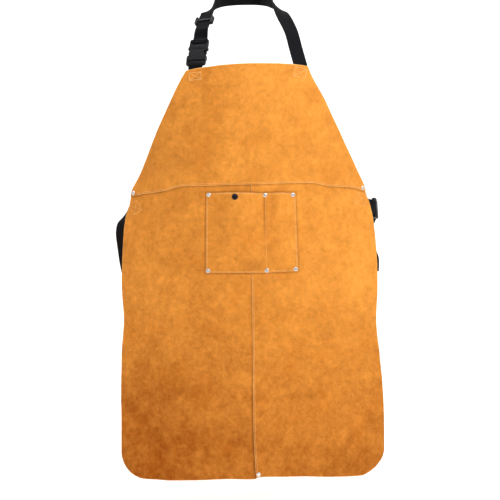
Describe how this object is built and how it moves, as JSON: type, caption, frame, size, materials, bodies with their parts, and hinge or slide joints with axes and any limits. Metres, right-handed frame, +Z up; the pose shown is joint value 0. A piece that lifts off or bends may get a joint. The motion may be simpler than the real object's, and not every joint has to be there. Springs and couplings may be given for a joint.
{
  "type": "welding apron",
  "caption": "Split-leather welding apron with bib, two-panel skirt, riveted two-compartment tool pocket with press snap, buckled neck strap and buckled waist belt.",
  "frame": {"origin": "on the wearer's body axis, at the height of the waist seam", "axes": "+Z up, +X to the wearer's left (the right-hand side seen from the front), front of the apron towards -Y"},
  "size_m": [0.6147, 0.3263, 1.1222],
  "materials": {
    "split_leather": "suede",
    "black_webbing": "woven",
    "black_plastic": "matte",
    "nickel_steel": "polished",
    "gunmetal": "blackened",
    "thread": "twisted"
  },
  "bodies": {
    "apron": {"bib_panel": "split_leather", "skirt_panel_left": "split_leather", "skirt_panel_right": "split_leather", "pocket_panel": "split_leather", "pocket_rivet_caps": "nickel_steel", "pocket_rivet_posts": "nickel_steel", "seam_rivet_caps": "nickel_steel", "seam_rivet_posts": "nickel_steel", "snap_stud": "gunmetal", "snap_stud_eyelet": "gunmetal", "neck_strap_anchor_left": "black_webbing", "neck_strap_anchor_right": "black_webbing", "waist_strap_anchor_left": "black_webbing", "waist_strap_anchor_right": "black_webbing"},
    "pocket_mouth": {"snap_cap": "gunmetal", "snap_socket": "gunmetal"},
    "neck_loop": {"neck_strap_short": "black_webbing", "neck_buckle_female": "black_plastic", "neck_strap_long": "black_webbing", "neck_strap_loop": "black_webbing"},
    "neck_slider_body": {"neck_slider": "black_plastic"},
    "neck_male": {"neck_buckle_male": "black_plastic"},
    "neck_prong_l": {"neck_prong_left": "black_plastic"},
    "neck_prong_r": {"neck_prong_right": "black_plastic"},
    "waist_belt": {"waist_strap_short": "black_webbing", "waist_buckle_female": "black_plastic", "waist_strap_long": "black_webbing", "waist_strap_loop": "black_webbing"},
    "waist_male": {"waist_buckle_male": "black_plastic"},
    "waist_prong_l": {"waist_prong_left": "black_plastic"},
    "waist_prong_r": {"waist_prong_right": "black_plastic"},
    "waist_tail": {"waist_strap_tail": "black_webbing"}
  },
  "joints": [
    {"name": "neck_loop_swing", "type": "hinge", "parent": "apron", "child": "neck_loop", "pos_m": [-0.12144, -0.08566, 0.26841], "axis": [0.9994, 0.0019, 0.0346], "range_deg": [-70, 45], "deforming": ["neck_strap_anchor_left", "neck_strap_anchor_right"]},
    {"name": "neck_slider_adjust", "type": "slide", "parent": "neck_loop", "child": "neck_slider_body", "axis": [0.2102, 0.5606, 0.8009], "range_m": [-0.016, 0.008]},
    {"name": "neck_buckle_release", "type": "slide", "parent": "neck_loop", "child": "neck_male", "axis": [0.1302, 0.4696, 0.8732], "range_m": [0, 0.028], "deforming": ["neck_strap_loop", "neck_prong_left", "neck_prong_right"]},
    {"name": "neck_prong_squeeze_left", "type": "hinge", "parent": "neck_male", "child": "neck_prong_l", "pos_m": [-0.12821, -0.0521, 0.32181], "axis": [-0.2725, -0.8298, 0.4869], "range_deg": [0, 12]},
    {"name": "neck_prong_squeeze_right", "type": "hinge", "parent": "neck_male", "child": "neck_prong_r", "pos_m": [-0.09866, -0.06144, 0.32243], "axis": [-0.2725, -0.8298, 0.4869], "range_deg": [-12, 0]},
    {"name": "waist_belt_swing", "type": "hinge", "parent": "apron", "child": "waist_belt", "pos_m": [0.277, -0.0225, -0.038], "axis": [0.9998, 0.0064, 0.0209], "range_deg": [-30, 35], "deforming": ["waist_strap_anchor_left", "waist_strap_anchor_right"]},
    {"name": "waist_buckle_release", "type": "slide", "parent": "waist_belt", "child": "waist_male", "axis": [0.1504, 0.9878, -0.0401], "range_m": [0, 0.028], "deforming": ["waist_strap_loop", "waist_prong_left", "waist_prong_right", "waist_strap_tail"]},
    {"name": "waist_prong_squeeze_left", "type": "hinge", "parent": "waist_male", "child": "waist_prong_l", "pos_m": [0.29459, 0.04962, -0.0277], "axis": [0.9867, -0.1475, 0.0684], "range_deg": [0, 12]},
    {"name": "waist_prong_squeeze_right", "type": "hinge", "parent": "waist_male", "child": "waist_prong_r", "pos_m": [0.2965, 0.04807, -0.0586], "axis": [0.9867, -0.1475, 0.0684], "range_deg": [-12, 0]},
    {"name": "waist_tail_swing", "type": "hinge", "parent": "waist_male", "child": "waist_tail", "pos_m": [0.29614, 0.08058, -0.0447], "axis": [1, 0, 0], "range_deg": [-15, 5]},
    {"name": "pocket_snap_close", "type": "slide", "parent": "apron", "child": "pocket_mouth", "axis": [0, 1, 0], "range_m": [0, 0.0085], "deforming": ["pocket_panel"]}
  ],
  "couplings": [
    {"joint": "neck_prong_squeeze_right", "follows": "neck_prong_squeeze_left", "ratio": -1},
    {"joint": "waist_prong_squeeze_right", "follows": "waist_prong_squeeze_left", "ratio": -1}
  ]
}
